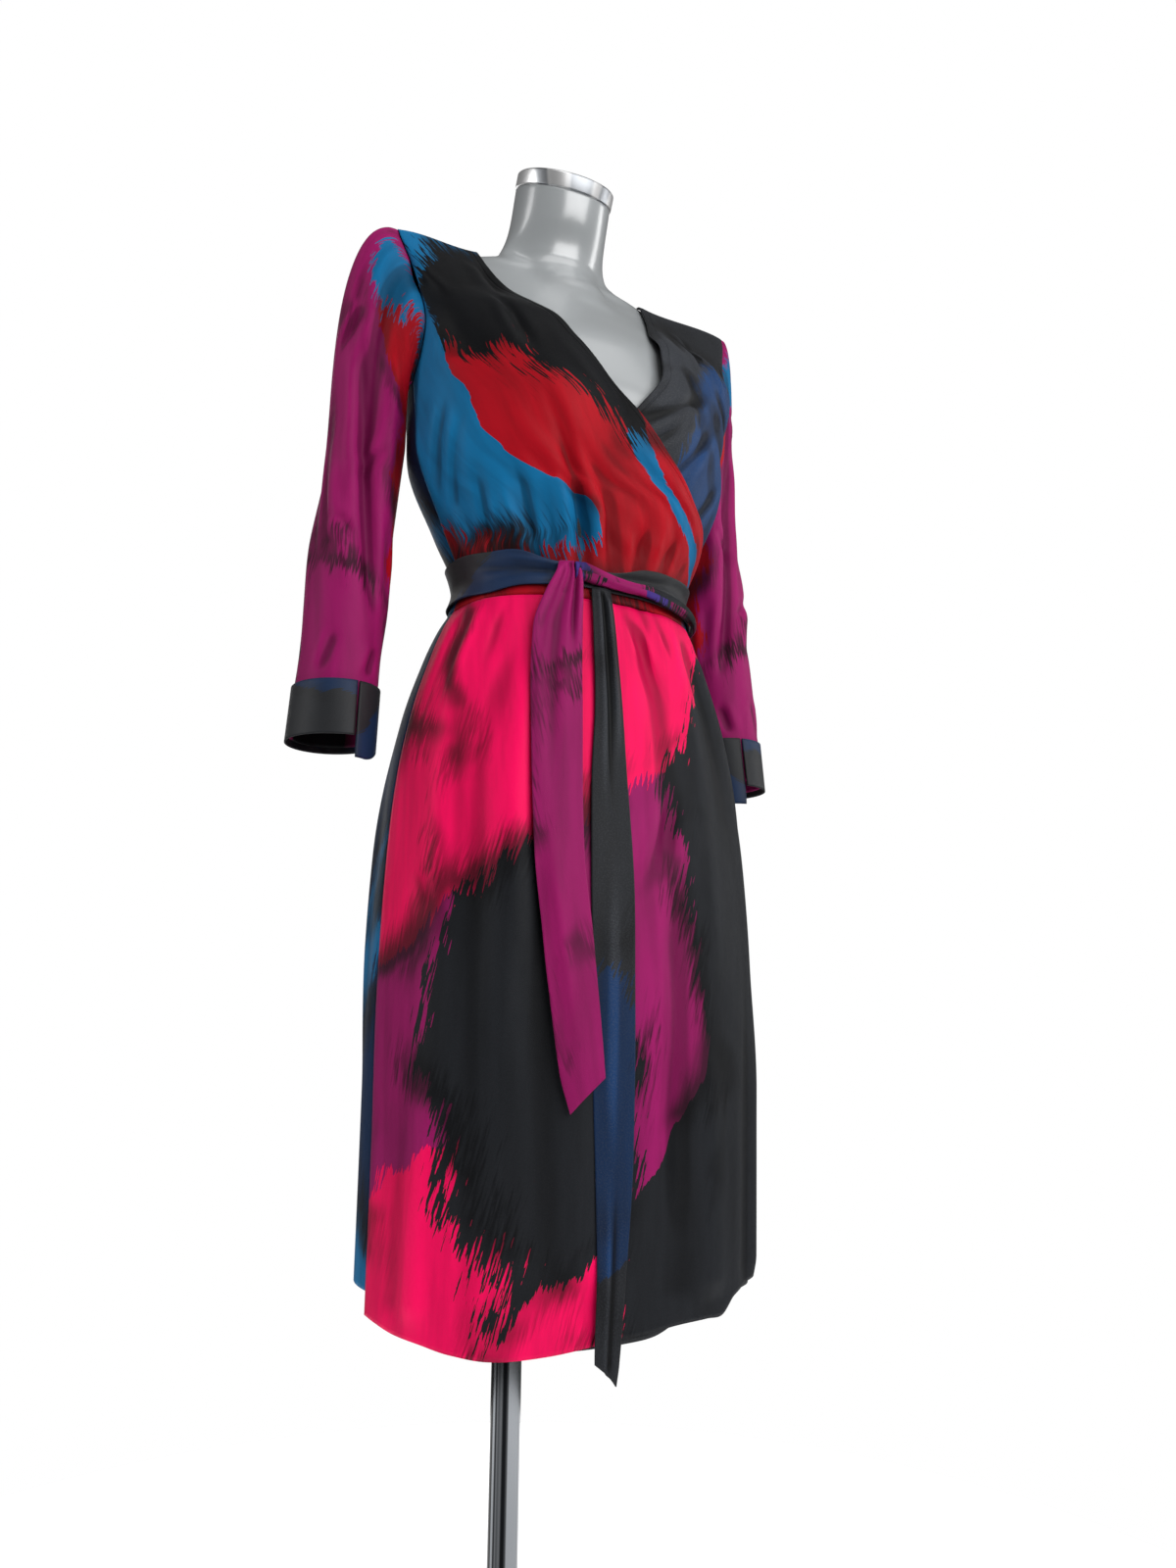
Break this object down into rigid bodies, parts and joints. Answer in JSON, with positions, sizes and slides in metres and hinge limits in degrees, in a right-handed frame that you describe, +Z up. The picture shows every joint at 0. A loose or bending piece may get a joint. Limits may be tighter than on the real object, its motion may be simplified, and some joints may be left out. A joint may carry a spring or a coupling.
{
  "type": "wrap dress on a dress form",
  "caption": "Knee-length wrap dress with long sleeves and split cuffs, tied at the waist with its own belt, standing on a limbless dress form with a pole and a round base.",
  "frame": {"origin": "middle of the underside of the stand's round base, on the floor", "axes": "+Z up; the front of the dress faces -Y; the wearer's left is towards +X"},
  "size_m": [0.5306, 0.4334, 1.5567],
  "materials": {
    "crimson_jersey": "printed jersey with a soft sheen",
    "charcoal_jersey": "printed jersey with a soft sheen",
    "magenta_jersey": "printed jersey with a soft sheen",
    "hot_pink_jersey": "printed jersey with a soft sheen",
    "navy_jersey": "printed jersey with a soft sheen",
    "violet_jersey": "printed jersey with a soft sheen",
    "form_grey": "glossy grey lacquer",
    "chrome": "polished chrome"
  },
  "bodies": {
    "root": {"bodice_front_right": "crimson_jersey", "bodice_front_left": "charcoal_jersey", "bodice_back": "charcoal_jersey", "skirt_front_right": "hot_pink_jersey", "skirt_front_left": "charcoal_jersey", "skirt_back": "charcoal_jersey", "sleeve_right": "magenta_jersey", "cuff_right": "navy_jersey", "sleeve_left": "magenta_jersey", "cuff_left": "navy_jersey", "belt_band": "navy_jersey", "tail_short": "magenta_jersey", "tail_long": "charcoal_jersey", "belt_strand": "violet_jersey", "belt_knot": "navy_jersey", "form_torso": "form_grey", "neck_cap": "chrome", "stand_flange": "chrome", "stand_pole": "chrome", "stand_collar": "chrome", "stand_base": "chrome"}
  },
  "joints": []
}
